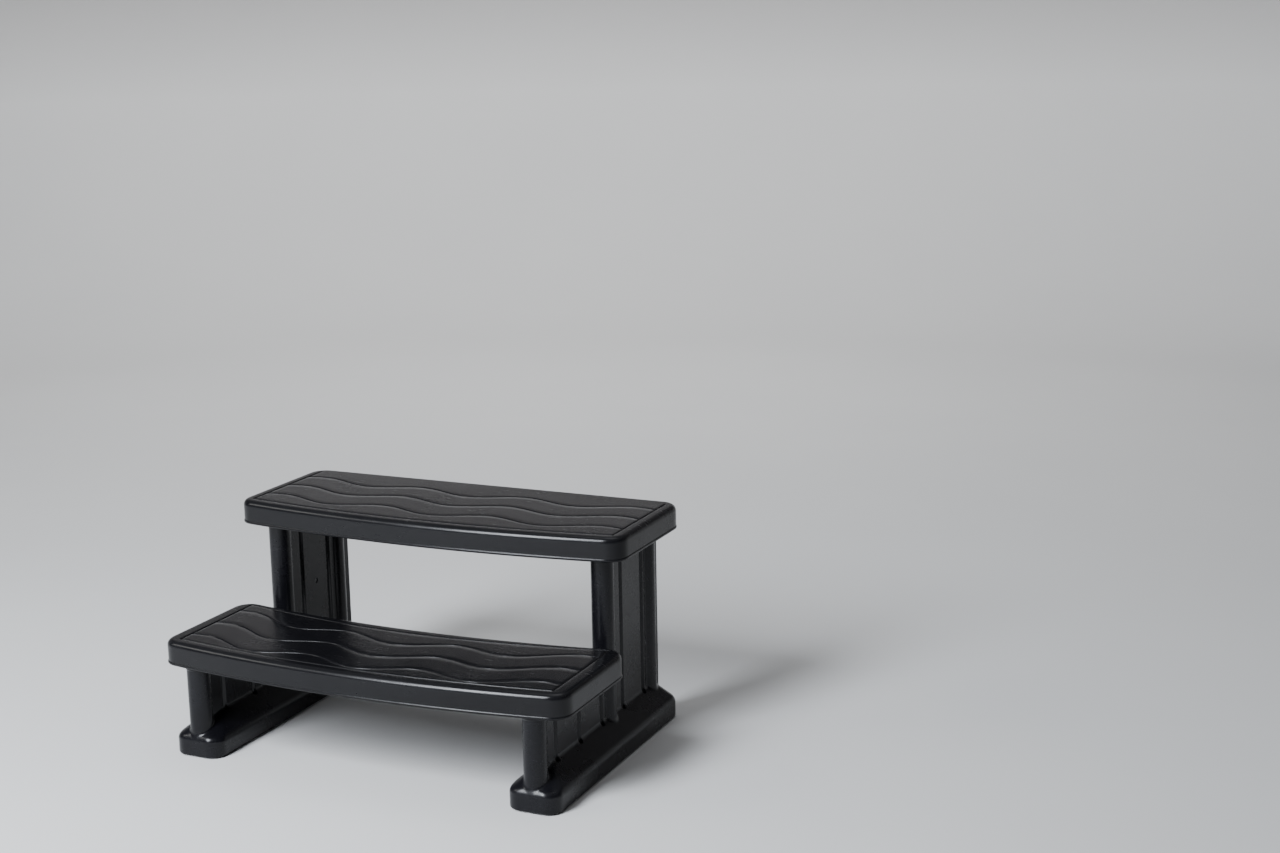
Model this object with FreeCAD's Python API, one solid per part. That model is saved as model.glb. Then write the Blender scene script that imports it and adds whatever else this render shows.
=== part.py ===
"""Two-step moulded plastic spa steps: two ribbed treads on two hollow side panels.

Frame: X across the steps, Y from the front edge towards the spa, Z up.
Origin: on the floor, under the centre of the bounding box. Units are millimetres.
"""
import FreeCAD
import Part
import math
import os

Vec = FreeCAD.Vector

# ---- driving dimensions -------------------------------------------------
LOWER_WIDTH = 780.0
UPPER_WIDTH = 766.0
LOWER_TOP = 205.0
UPPER_TOP = 400.0
STRIP_X = 361.0            # grooves that close the ribbed field at each end

SKIRT_DEPTH = 42.0         # tread top to the bottom of its skirt
SKIRT_WALL = 3.5
PLATE = 4.5
BULLNOSE = 10.0
CORNER = 34.0              # vertical corners of the treads
LIP_PROUD = 1.2            # bead round the bottom of the skirt
LIP_HEIGHT = 4.0
LIP_ROUND = 0.95

# Each line across a tread: its Y at the middle, and how far it has run back at x = +-STRIP_X.
LOWER_FRONT = (-266.5, 28.0)
LOWER_REAR = (-20.5, 31.0)
UPPER_FRONT = (-30.0, 28.0)
UPPER_REAR = (266.5, 0.0)

# Grooves in the top of each tread: plain borders, and the mean lines of the waves.
LOWER_BORDERS = ((-244.5, 28.0), (-45.5, 42.0))
UPPER_BORDERS = ((-8.0, 28.0),)
LOWER_WAVES = ((-92.5, 44.0), (-158.5, 38.0), (-222.5, 30.0))
UPPER_WAVES = ((182.5, 10.0), (114.0, 11.0), (43.5, 12.0))
LOWER_STRIP_END = -3.5     # rear end of the end grooves
UPPER_STRIP_END = 242.5
GROOVE_WIDTH = 4.0
GROOVE_DEPTH = 1.6
WAVE_PERIOD = 214.0
WAVE_HEIGHT = 14.5         # from the mean line to a crest
WAVE_STEPS = 40            # points that each side of a groove is drawn through

PANEL_X = 327.0            # middle plane of each side panel
WALL = 3.5
POST_R = 20.0
WEB_HALF = 10.0
LOWER_POST_Y = -217.5
UPPER_POST_Y = 47.5
REAR_POST_Y = 220.5
WEB_REAR = 257.5
FLUTE_PITCH = 87.0         # upright channels pressed into the webs
FLUTE_FIRST_Y = -163.5
FLUTE_COUNT = 5
FLUTE_HALF = 5.5
FLUTE_DEPTH = 5.0
FLUTE_FROM_Z = 63.0        # bottom of the channels, a notch in the shoulder
UPPER_FLUTES_FROM = 3      # channels from this one on run up the tall section

BASE_FRONT = -241.5
BASE_REAR = 266.5
BASE_HALF = 47.0
BASE_CORNER = 26.0
BASE_WALL_TOP = 35.0       # top of the upright side of the base
ROOF_TOP = 68.0            # where the sloping shoulder meets the web
ROOF_RUN = 20.0            # shoulder run at the front and rear ends
ROOF_CORNER_FLAT = 0.2     # keeps the top of the shoulder from closing to a full half round
BASE_SHELL = 5.0
BASE_EDGE_ROUND = 2.0
RIDGE_ROUND = 7.0

LOWER_HEAD = 47.0          # rail under the lower tread shows just below the skirt
UPPER_HEAD = 38.0
HEAD_R = 21.5
HEAD_REAR_CLEAR = 14.0     # rail stops this far before the rear skirt
SHELF_DROP = 8.0           # web behind a rear skirt lies this far below it

SOCKET_GAP = 0.4           # play between a tread's socket ribs and the rail
RIB = 3.0
RIB_DEPTH = 26.0
RIB_ROOT = 0.5             # how far ribs run into the plate
RIB_INTO_SKIRT = 1.0
CROSS_RIB_PITCH = 66.0
CROSS_RIB_COUNT = 9
LONG_RIB_SHARES = (1 / 3, 2 / 3)   # places of the long ribs between front and rear

PAD_THICK = 5.0
PAD_SHOWN = 2.5            # how far a pad stands below the panel
PAD_HALF = 30.0
PAD_LENGTH = 78.0
PAD_INSET = 22.0           # from the end of the base
PAD_PLAY = 0.3
PAD_CORNER = 12.0
PAD_EDGE_ROUND = 1.0
PEG_R = 4.0
PEG_LENGTH = 5.0
PEG_X = 16.0

SCREW_R = 2.1
SCREW_HOLE_R = 2.35
SCREW_HEAD_R = 4.0
SCREW_HEAD = 2.6
SCREW_HEAD_ROUND = 1.2
SCREW_LENGTH = 12.7
SCREW_TIP = 3.0
SCREW_TIP_R = 0.4
SCREW_END_PLAY = 0.5       # depth of a hole past the point of its screw
BOSS_R = 6.5
RECESS_R = 4.8
RECESS_DEPTH = 3.6
DRIVE_R = 1.5              # cross recess in a screw head
DRIVE_DEPTH = 1.4

# Screw places: panel screws as (Y, Z), tread screws as Y along each rail.
PANEL_SCREWS = ((-120.0, 110.0), (-33.0, 110.0), (141.0, 110.0), (141.0, 215.0), (141.0, 325.0))
LOWER_SCREW_YS = (-163.5, -49.5)
UPPER_SCREW_YS = (97.5, 206.0)
TREAD_SCREW_DROP = 14.0    # below the underside of the plate

FAR = 400.0                # past every part of the steps
OVERCUT = 1.0              # cutters run this far past the face they open
TOUCH = 1e-4               # closer than this counts as touching


# ---- shared helpers -----------------------------------------------------
def bow_y(line, x):
    """Y at x of a bowed line given as (Y at the middle, bow at the end grooves)."""
    middle, bow = line
    return middle + bow * (x / STRIP_X) ** 2


def prism(edges, z_from, z_to):
    """Solid between two heights over a closed loop of edges drawn at z = 0."""
    face = Part.Face(Part.Wire(edges))
    face.translate(Vec(0, 0, z_from))
    return face.extrude(Vec(0, 0, z_to - z_from))


def edges_at(shape, z):
    """Edges of a shape that lie flat at one height."""
    return [e for e in shape.Edges if max(abs(e.BoundBox.ZMin - z), abs(e.BoundBox.ZMax - z)) < TOUCH]


def upright_edges(shape):
    """Straight vertical edges of a shape."""
    boxes = [(e, e.BoundBox) for e in shape.Edges]
    return [e for e, box in boxes if box.ZLength > TOUCH and box.XLength + box.YLength < TOUCH]


def rounded_loop(half, y_front, y_rear, radius, z):
    """Closed wire: a rectangle with rounded corners, centred on x = 0."""
    inner_x = half - radius
    front = y_front + radius
    rear = y_rear - radius
    bulge = radius * math.sqrt(0.5)
    points = []
    for cx, cy in ((inner_x, rear), (-inner_x, rear), (-inner_x, front), (inner_x, front)):
        sx = math.copysign(1, cx)
        sy = 1 if cy == rear else -1
        on_x = Vec(cx + sx * radius, cy, z)
        middle = Vec(cx + sx * bulge, cy + sy * bulge, z)
        on_y = Vec(cx, cy + sy * radius, z)
        points.append((on_x, middle, on_y) if sx * sy > 0 else (on_y, middle, on_x))
    edges = []
    for index, (start, middle, end) in enumerate(points):
        edges.append(Part.Arc(start, middle, end).toShape())
        edges.append(Part.makeLine(end, points[(index + 1) % 4][0]))
    return Part.Wire(edges)


def cylinder_x(radius, x_from, x_to, y, z):
    """Cylinder along X."""
    return Part.makeCylinder(radius, x_to - x_from, Vec(x_from, y, z), Vec(1, 0, 0))


def slab(x_from, x_to, y_from, y_to, z_from, z_to):
    """Box given by its limits."""
    return Part.makeBox(x_to - x_from, y_to - y_from, z_to - z_from, Vec(x_from, y_from, z_from))


# ---- treads -------------------------------------------------------------
def tread_block(outline, inset, z_from, z_to):
    """Solid inside a tread's outline, drawn in by inset all round."""
    front, rear, width = outline
    half = width / 2 - inset
    front_mid = Vec(0, front[0] + inset, 0)
    rear_mid = Vec(0, rear[0] - inset, 0)
    front_right = Vec(half, bow_y(front, half) + inset, 0)
    front_left = Vec(-half, front_right.y, 0)
    rear_right = Vec(half, bow_y(rear, half) - inset, 0)
    rear_left = Vec(-half, rear_right.y, 0)
    if rear[1] > 0:
        rear_edge = Part.Arc(rear_right, rear_mid, rear_left).toShape()
    else:
        rear_edge = Part.makeLine(rear_right, rear_left)
    front_edge = Part.Arc(front_left, front_mid, front_right).toShape()
    ends = (Part.makeLine(front_right, rear_right), Part.makeLine(rear_left, front_left))
    block = prism([front_edge, ends[0], rear_edge, ends[1]], z_from, z_to)
    return block.makeFillet(CORNER - inset, upright_edges(block))


def groove(line, wave, z_top):
    """Cutter for one groove across the tread, straight-sided, along a bowed or wavy line."""
    xs = [STRIP_X * (2.0 * i / WAVE_STEPS - 1.0) for i in range(WAVE_STEPS + 1)]
    mean = [bow_y(line, x) - wave * math.cos(2 * math.pi * x / WAVE_PERIOD) for x in xs]
    sides = []
    for offset in (-GROOVE_WIDTH / 2, GROOVE_WIDTH / 2):
        curve = Part.BSplineCurve()
        curve.interpolate([Vec(x, y + offset, 0) for x, y in zip(xs, mean)])
        sides.append(curve)
    near, far = sides
    ends = (Part.makeLine(near.EndPoint, far.EndPoint), Part.makeLine(near.StartPoint, far.StartPoint))
    return prism([near.toShape(), ends[0], far.toShape(), ends[1]], z_top - GROOVE_DEPTH, z_top + OVERCUT)


def tread_grooves(borders, waves, strip_end, z_top):
    """Cutters for the wavy grooves, the border grooves and the grooves across both ends."""
    half = GROOVE_WIDTH / 2
    cutters = [groove(line, 0.0, z_top) for line in borders]
    cutters += [groove(line, WAVE_HEIGHT, z_top) for line in waves]
    y_from = bow_y(borders[0], STRIP_X) - half
    for x in (-STRIP_X, STRIP_X):
        strip = slab(x - half, x + half, y_from, strip_end + half, z_top - GROOVE_DEPTH, z_top + OVERCUT)
        cutters.append(strip)
    return cutters


def tread_ribs(outline, z_top):
    """Stiffening ribs under the plate, and the socket ribs that straddle each panel."""
    z_to = z_top - PLATE + RIB_ROOT
    z_from = z_top - PLATE - RIB_DEPTH
    inside = tread_block(outline, SKIRT_WALL - RIB_INTO_SKIRT, z_from, z_to)
    socket_near = HEAD_R + SOCKET_GAP
    strips = []
    for side in (-1, 1):
        for start in (-socket_near - RIB, socket_near):
            x = side * PANEL_X + start
            strips.append(slab(x, x + RIB, -FAR, FAR, z_from, z_to))
    for index in range(CROSS_RIB_COUNT):
        x = (index - (CROSS_RIB_COUNT - 1) / 2) * CROSS_RIB_PITCH - RIB / 2
        strips.append(slab(x, x + RIB, -FAR, FAR, z_from, z_to))
    reach = PANEL_X - socket_near
    front, rear, _ = outline
    for share in LONG_RIB_SHARES:
        y = front[0] + (rear[0] - front[0]) * share
        strips.append(slab(-reach, reach, y, y + RIB, z_from, z_to))
    return [strip.common(inside) for strip in strips]


def make_tread(outline, grooves, z_top, screw_ys):
    """One tread: plate, bullnose, skirt, bottom bead, ribs, grooves and screw holes."""
    z_bottom = z_top - SKIRT_DEPTH
    block = tread_block(outline, 0.0, z_bottom, z_top)
    block = block.makeFillet(BULLNOSE, edges_at(block, z_top))
    bead = tread_block(outline, -LIP_PROUD, z_bottom, z_bottom + LIP_HEIGHT)
    rims = edges_at(bead, z_bottom) + edges_at(bead, z_bottom + LIP_HEIGHT)
    bead = bead.makeFillet(LIP_ROUND, rims)
    hollow = tread_block(outline, SKIRT_WALL, z_bottom - OVERCUT, z_top - PLATE)
    tread = block.fuse(bead).cut(hollow)
    tread = tread.fuse(tread_ribs(outline, z_top))
    tread = tread.cut(grooves)
    start = PANEL_X - HEAD_R - SOCKET_GAP - RIB - OVERCUT
    end = PANEL_X - HEAD_R + OVERCUT
    holes = []
    for y in screw_ys:
        z = tread_screw_z(z_top)
        holes.append(cylinder_x(SCREW_HOLE_R, start, end, y, z))
        holes.append(cylinder_x(SCREW_HOLE_R, -end, -start, y, z))
    return tread.cut(holes).removeSplitter()


def tread_screw_z(z_top):
    """Height of the screws that hold a tread to its panels."""
    return z_top - PLATE - TREAD_SCREW_DROP


# ---- side panels, drawn as one half lying on x >= 0 ----------------------
def base_form(inset):
    """Flared base of a panel: upright side, then a shoulder sloping up to the web."""
    half = BASE_HALF - inset
    front = BASE_FRONT + inset
    rear = BASE_REAR - inset
    low = rounded_loop(half, front, rear, BASE_CORNER - inset, BASE_WALL_TOP)
    top_half = WEB_HALF - inset / 2
    high = rounded_loop(top_half, front + ROOF_RUN, rear - ROOF_RUN, top_half - ROOF_CORNER_FLAT, ROOF_TOP)
    floor = PAD_SHOWN + inset
    wall = Part.Face(low).extrude(Vec(0, 0, floor - BASE_WALL_TOP))
    roof = Part.makeLoft([low, high], True, True)
    base = wall.fuse(roof).removeSplitter()
    if inset > 0:
        return base
    base = base.makeFillet(RIDGE_ROUND, edges_at(base, BASE_WALL_TOP))
    return base.makeFillet(BASE_EDGE_ROUND, edges_at(base, floor))


def section_form(y_front, y_rail_end, y_web_end, z_top, head_depth, inset):
    """Web of one section with the rail along its top; the rail starts at a round post."""
    top = z_top - PLATE - inset
    rail_bottom = z_top - head_depth + inset
    rail_r = HEAD_R - inset
    rail = slab(0, rail_r, y_front, y_rail_end - inset, rail_bottom, top)
    nose = Part.makeCylinder(rail_r, top - rail_bottom, Vec(0, y_front, rail_bottom))
    web = slab(0, WEB_HALF - inset, y_front, y_rail_end - inset, BASE_WALL_TOP, top)
    shelf = z_top - SKIRT_DEPTH - SHELF_DROP - inset
    tail = slab(0, WEB_HALF - inset, y_front, y_web_end - inset, BASE_WALL_TOP, shelf)
    return [rail, nose, web, tail]


def panel_form(inset):
    """Half of a side panel, drawn in by inset all over."""
    lower_rail_end = bow_y(LOWER_REAR, PANEL_X) - HEAD_REAR_CLEAR
    upper_rail_end = UPPER_REAR[0] - HEAD_REAR_CLEAR
    pieces = section_form(LOWER_POST_Y, lower_rail_end, UPPER_POST_Y, LOWER_TOP, LOWER_HEAD, inset)
    pieces += section_form(UPPER_POST_Y, upper_rail_end, WEB_REAR, UPPER_TOP, UPPER_HEAD, inset)
    for y, z_top in ((LOWER_POST_Y, LOWER_TOP), (UPPER_POST_Y, UPPER_TOP), (REAR_POST_Y, UPPER_TOP)):
        height = z_top - PLATE - inset - BASE_WALL_TOP
        pieces.append(Part.makeCylinder(POST_R - inset, height, Vec(0, y, BASE_WALL_TOP)))
    form = base_form(BASE_SHELL if inset > 0 else 0.0).fuse(pieces).removeSplitter()
    return form.common(slab(0, BASE_HALF + OVERCUT, -FAR, FAR, 0, UPPER_TOP))


def flute_ys():
    """Places of the upright channels, front to back."""
    return [FLUTE_FIRST_Y + FLUTE_PITCH * i for i in range(FLUTE_COUNT)]


def flute_cutters():
    """Round-bottomed channels in the face of the web, ending in a notch in the shoulder."""
    cutters = []
    for index, y in enumerate(flute_ys()):
        z_to = LOWER_TOP - LOWER_HEAD if index < UPPER_FLUTES_FROM else UPPER_TOP - UPPER_HEAD
        radius = (FLUTE_HALF ** 2 + FLUTE_DEPTH ** 2) / (2 * FLUTE_DEPTH)
        axis = Vec(WEB_HALF + radius - FLUTE_DEPTH, y, FLUTE_FROM_Z)
        cutters.append(Part.makeCylinder(radius, z_to - FLUTE_FROM_Z, axis))
    return cutters


def tread_screw_places():
    """(Y, Z) of every tread screw in one panel."""
    lower = [(y, tread_screw_z(LOWER_TOP)) for y in LOWER_SCREW_YS]
    return lower + [(y, tread_screw_z(UPPER_TOP)) for y in UPPER_SCREW_YS]


def panel_cavity():
    """Space inside half a panel: its form drawn in, less the ribs and bosses left standing."""
    kept = []
    half = FLUTE_HALF + WALL
    for y in flute_ys():
        kept.append(slab(0, BASE_HALF, y - half, y + half, 0, UPPER_TOP))
    for y, z in PANEL_SCREWS:
        kept.append(cylinder_x(BOSS_R, 0, BASE_HALF, y, z))
    for y, z in tread_screw_places():
        kept.append(cylinder_x(BOSS_R, 0, BASE_HALF, y, z))
    return panel_form(WALL).cut(kept)


def pad_places():
    """Y of the middle of each foot pad: front, then rear."""
    return (BASE_FRONT + PAD_INSET + PAD_LENGTH / 2, BASE_REAR - PAD_INSET - PAD_LENGTH / 2)


def pad_plan(play):
    """Loop of a foot pad's outline about its own middle, grown by play."""
    length = PAD_LENGTH / 2 + play
    return rounded_loop(PAD_HALF + play, -length, length, PAD_CORNER + play, 0)


def pad_recesses():
    """Cutters for the pads' recesses and peg holes in the underside of half a panel."""
    cutters = []
    for y in pad_places():
        recess = Part.Face(pad_plan(PAD_PLAY)).extrude(Vec(0, 0, PAD_THICK))
        recess.translate(Vec(0, y, 0))
        cutters.append(recess)
        hole = Part.makeCylinder(PEG_R + PAD_PLAY, PAD_THICK + PEG_LENGTH + OVERCUT, Vec(PEG_X, y, 0))
        cutters.append(hole)
    return cutters


def make_half_shell(is_inner):
    """One half of a side panel, lying on x >= 0 with its joint face at x = 0."""
    cutters = flute_cutters() + [panel_cavity()] + pad_recesses()
    seat = WEB_HALF - RECESS_DEPTH
    for y, z in PANEL_SCREWS:
        if is_inner:
            cutters.append(cylinder_x(SCREW_HOLE_R, -OVERCUT, WEB_HALF, y, z))
            cutters.append(cylinder_x(RECESS_R, seat, WEB_HALF + OVERCUT, y, z))
        else:
            cutters.append(cylinder_x(SCREW_HOLE_R, -OVERCUT, SCREW_LENGTH - seat + SCREW_END_PLAY, y, z))
    if is_inner:
        tip = HEAD_R + SOCKET_GAP + RIB - SCREW_LENGTH
        for y, z in tread_screw_places():
            cutters.append(cylinder_x(SCREW_HOLE_R, tip - SCREW_END_PLAY, HEAD_R + OVERCUT, y, z))
    return panel_form(0.0).cut(cutters).removeSplitter()


def place(shape, side, is_inner):
    """Put a half drawn on x >= 0 on the left (-1) or right (+1) panel, facing in or out."""
    facing = -side if is_inner else side
    if facing < 0:
        shape = shape.mirror(Vec(0, 0, 0), Vec(1, 0, 0))
    else:
        shape = shape.copy()
    shape.translate(Vec(side * PANEL_X, 0, 0))
    return shape


# ---- screws and foot pads -----------------------------------------------
def make_screw(seat, y, z):
    """Pan-head screw along X, its head on x >= seat and its point towards smaller x."""
    head = cylinder_x(SCREW_HEAD_R, seat, seat + SCREW_HEAD, y, z)
    rim = [e for e in head.Edges if e.BoundBox.XMin > seat + SCREW_HEAD - TOUCH]
    head = head.makeFillet(SCREW_HEAD_ROUND, rim)
    shank_length = SCREW_LENGTH - SCREW_TIP
    shank = cylinder_x(SCREW_R, seat - shank_length, seat, y, z)
    tip = Part.makeCone(SCREW_R, SCREW_TIP_R, SCREW_TIP, Vec(seat - shank_length, y, z), Vec(-1, 0, 0))
    screw = head.fuse([shank, tip])
    slot_half = DRIVE_R / 4
    x_from = seat + SCREW_HEAD - DRIVE_DEPTH
    for half_y, half_z in ((DRIVE_R, slot_half), (slot_half, DRIVE_R)):
        cross = slab(x_from, seat + SCREW_HEAD + OVERCUT, y - half_y, y + half_y, z - half_z, z + half_z)
        screw = screw.cut(cross)
    return screw.removeSplitter()


def screw_group(seat, places, side):
    """Identical screws of one joint, driven from the middle of the steps outwards."""
    return Part.makeCompound([place(make_screw(seat, y, z), side, True) for y, z in places])


def make_pad(x, y):
    """Rubber foot pad with two pegs, standing on the floor."""
    pad = Part.Face(pad_plan(0.0)).extrude(Vec(0, 0, PAD_THICK))
    pad = pad.makeFillet(PAD_EDGE_ROUND, edges_at(pad, 0.0))
    for peg_x in (-PEG_X, PEG_X):
        pad = pad.fuse(Part.makeCylinder(PEG_R, PEG_LENGTH + OVERCUT, Vec(peg_x, 0, PAD_THICK - OVERCUT)))
    pad = pad.removeSplitter()
    pad.translate(Vec(x, y, 0))
    return pad


# ---- assembly -----------------------------------------------------------
def build_parts():
    """Every separate piece of the steps, by name."""
    parts = {}
    grooves = tread_grooves(LOWER_BORDERS, LOWER_WAVES, LOWER_STRIP_END, LOWER_TOP)
    outline = (LOWER_FRONT, LOWER_REAR, LOWER_WIDTH)
    parts["lower_tread"] = make_tread(outline, grooves, LOWER_TOP, LOWER_SCREW_YS)
    grooves = tread_grooves(UPPER_BORDERS, UPPER_WAVES, UPPER_STRIP_END, UPPER_TOP)
    outline = (UPPER_FRONT, UPPER_REAR, UPPER_WIDTH)
    parts["upper_tread"] = make_tread(outline, grooves, UPPER_TOP, UPPER_SCREW_YS)
    halves = {"outer": make_half_shell(False), "inner": make_half_shell(True)}
    tread_seat = HEAD_R + SOCKET_GAP + RIB
    for side, word in ((-1, "left"), (1, "right")):
        for half, shape in halves.items():
            parts[word + "_panel_" + half + "_shell"] = place(shape, side, half == "inner")
        parts[word + "_panel_screws"] = screw_group(WEB_HALF - RECESS_DEPTH, PANEL_SCREWS, side)
        for tread, z_top, ys in (("lower", LOWER_TOP, LOWER_SCREW_YS), ("upper", UPPER_TOP, UPPER_SCREW_YS)):
            places = [(y, tread_screw_z(z_top)) for y in ys]
            parts[tread + "_tread_" + word + "_screws"] = screw_group(tread_seat, places, side)
        for end, y in zip(("front", "rear"), pad_places()):
            parts[end + "_" + word + "_foot_pad"] = make_pad(side * PANEL_X, y)
    return parts


def main():
    os.makedirs("parts", exist_ok=True)
    for name, shape in build_parts().items():
        shape.exportStep("parts/" + name + ".step")
        print(name, len(shape.Solids), "solid(s)", round(shape.Volume / 1000, 1), "cm3")


main()
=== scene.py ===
"""Looks of two-step moulded plastic spa steps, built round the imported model.

Shapes are worked out in millimetres and turned to metres when a mesh is made.
Lights, camera and floor are in metres. X runs across the steps, +Y towards the spa, Z up.
"""
import math

import bpy
import numpy as np
from mathutils import Matrix, Vector


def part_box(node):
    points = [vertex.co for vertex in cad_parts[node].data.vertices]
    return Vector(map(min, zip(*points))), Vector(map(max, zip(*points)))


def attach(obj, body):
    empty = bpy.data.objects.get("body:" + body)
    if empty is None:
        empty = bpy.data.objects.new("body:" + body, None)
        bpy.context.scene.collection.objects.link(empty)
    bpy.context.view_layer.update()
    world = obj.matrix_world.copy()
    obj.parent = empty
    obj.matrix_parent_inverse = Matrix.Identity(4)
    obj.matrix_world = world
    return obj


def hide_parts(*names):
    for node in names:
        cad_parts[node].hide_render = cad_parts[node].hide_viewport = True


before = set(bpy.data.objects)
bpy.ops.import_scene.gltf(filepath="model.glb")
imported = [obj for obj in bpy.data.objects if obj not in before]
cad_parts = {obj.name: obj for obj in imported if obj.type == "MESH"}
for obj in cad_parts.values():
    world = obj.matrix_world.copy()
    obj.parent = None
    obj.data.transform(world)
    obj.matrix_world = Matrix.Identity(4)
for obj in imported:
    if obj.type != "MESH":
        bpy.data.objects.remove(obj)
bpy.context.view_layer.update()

MM = 0.001

# ---- treads, in millimetres ----------------------------------------------
STRIP_X = 361.0            # grooves that close the ribbed field at each end
SKIRT_DEPTH = 42.0
SKIRT_WALL = 3.5
PLATE = 4.5
BULLNOSE = 10.0
CORNER = 34.0
BEAD = 1.1                 # how far the bottom bead stands proud
GROOVE_DEPTH = 1.7
GROOVE_REACH = 2.7         # half width of a groove with its rounded lips
GROOVE_FLOOR = 0.5         # half width of its floor
GROOVE_LIP = GROOVE_REACH - 0.3       # from its middle to where the lips meet the top
GROOVE_LINES = (0.0, GROOVE_FLOOR, 0.9, 1.3, 1.7, 2.1, GROOVE_REACH)    # mesh lines beside its middle
GROOVE_END = 1.5           # length over which a groove runs out
WAVE_PERIOD = 214.0
WAVE_HEIGHT = 14.5
COLUMN_PITCH = 5.0
LAND_ROWS = 4
STRIP_END_LINES = (-2.0, 0.0, 0.8, 1.6, 3.0)  # mesh lines round the end of the strip grooves
MARGIN_SHARES = (0.35, 0.7)           # rings between the field's edge and the bullnose
ARC_POINTS = 24            # in half a corner of the outline
RUN_POINTS = 120           # in half a side of the outline
BULLNOSE_POINTS = 10
SKIRT_POINTS = 4
BEAD_HALF = 2.3            # half the bead's height
BEAD_POINTS = 11

# Lines across a tread: (Y at the middle, how far it has run back at x = +-STRIP_X).
TREADS = {
    "lower_tread": {
        "front": (-266.5, 28.0),
        "rear": (-20.5, 31.0),
        "borders": ((-244.5, 28.0), (-45.5, 42.0)),
        "waves": ((-222.5, 30.0), (-158.5, 38.0), (-92.5, 44.0)),
        "strip_end": -3.5,
    },
    "upper_tread": {
        "front": (-30.0, 28.0),
        "rear": (266.5, 0.0),
        "borders": ((-8.0, 28.0),),
        "waves": ((43.5, 12.0), (114.0, 11.0), (182.5, 10.0)),
        "strip_end": 242.5,
    },
}
RIB = 3.0
RIB_DEPTH = 26.0
CROSS_RIB_PITCH = 66.0
CROSS_RIB_COUNT = 9
RIB_ROUND = 0.6
RIB_BITE = 0.5             # how far a rib runs into the plate and the skirt
SOCKET_RIB_X = 21.9        # from a panel's middle plane to the near face of its socket ribs

# ---- side panels, in millimetres -------------------------------------------
POST_R = 20.0
WEB_HALF = 10.0
LOWER_POST_Y = -217.5
UPPER_POST_Y = 47.5
REAR_POST_Y = 220.5
WEB_REAR = 257.5
LOWER_RAIL = (-217.5, -9.1, 158.0, 200.5)     # front, rear, bottom, top
UPPER_RAIL = (47.5, 252.5, 362.0, 395.5)
RAIL_R = 21.5
LOWER_SHELF = 155.0        # top of the web behind the lower rail
UPPER_SHELF = 350.0
FLUTE_YS = (-163.5, -76.5, 10.5, 97.5, 184.5)
FLUTE_TOPS = (158.0, 158.0, 158.0, 362.0, 362.0)
FLUTE_R = 5.5
FLUTE_DEPTH = 5.0
FLUTE_FROM_Z = 63.0
FLUTE_END_ROUND = 3.0
FLUTE_LIP_ROUND = 1.6
EDGE_ROUND = 2.0           # ordinary edges and inside corners
POST_FILLET = 2.5
TAIL_ROUND = 4.0           # rear edge of the web
RAIL_END_ROUND = 3.0
RAIL_EDGE_ROUND = 1.5
BASE_CORNER = 26.0
SHOULDER_ROUND = BASE_CORNER * 0.7
BASE_WALL_TOP = 35.0
ROOF_TOP = 68.0
ROOF_RUN = 20.0            # how far the shoulder runs in from the rear end
FRONT_WALL_TOP = 36.0
FRONT_RUN = 44.0           # the front end's gentler slope, which leaves a ledge before the post
RIDGE_ROUND = 6.0
FOOT_ROUND = 3.5
JOINT_GAP = 0.05           # from the middle plane to each half
JOINT_REACH = 0.25         # points this near the middle plane belong to the joint
PANEL_SCREWS = ((-120.0, 110.0), (-33.0, 110.0), (141.0, 110.0), (141.0, 215.0), (141.0, 325.0))
RECESS_R = 4.8
RECESS_ROUND = 0.7
RECESS_SEAT = 6.4          # height of the screw heads' seats above the middle plane
PAD_HALF = 30.3
PAD_HALF_LENGTH = 39.3
PAD_CORNER = 12.3
PAD_TOP = 5.0
PAD_YS = (-180.5, 205.5)

# Grid that a panel's surface is found on: steps across, along and up, and where they
# are finer, as (reach round the place, step).
GRID_STEPS = (3.0, 4.0, 6.0)
GRID_GROWTH = 0.3
GRID_AT_JOINT = (1.2, 0.4)
GRID_AT_WEB = (2.5, 1.1)
GRID_AT_FLUTE = (6.0, 1.3)
GRID_AT_SCREW = (5.0, 1.2)
GRID_AT_SOLE = (3.0, 1.0)
GRID_AT_SHOULDER = (6.0, 2.0)
GRID_AT_FLUTE_FOOT = (6.0, 1.6)
GRID_AT_RAIL = (2.0, 0.9)
GRID_AT_SHELF = (2.0, 1.2)
CELL_CORNERS = [(i, j, k) for i in (0, 1) for j in (0, 1) for k in (0, 1)]
SKIN_ROUNDS = 3            # moves that bring the mesh onto the surface
SKIN_MOVE = 1.2            # the longest of them along an axis
RIM_ROUNDS = 6
RIM_MOVE = 1.5

# ---- CAD nodes that stay ------------------------------------------------------
PAD_SOFTENING = 0.4 * MM
SCREW_SOFTENING = 0.12 * MM
SHARP_ANGLE = math.radians(40)

# ---- studio, in metres ---------------------------------------------------------
FLOOR_RADII = (0.0, 0.8, 2.0, 4.2)
SWEEP = 2.2                # radius of the curve from the floor up to the backdrop
SWEEP_POINTS = 14
BACKDROP_TOP = 5.0
BACKDROP_POINTS = 8
BACKDROP_SIDES = 96
PINHOLE = 1e-4             # keeps the floor's middle from shrinking to a point
PAPER = ((0.60, 0.60, 0.60), (0.64, 0.64, 0.635))
# Painted shade: the tone that the backdrop paper is painted towards higher up.
BACKDROP_PAINTED_SHADE = (0.17, 0.16, 0.16)
PAINTED_SHADE_FROM, PAINTED_SHADE_TO = 0.9, 1.9         # heights between which painted shade darkens the paper

OBJECT_MIDDLE = (0.0, 0.0, 0.2)
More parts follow.
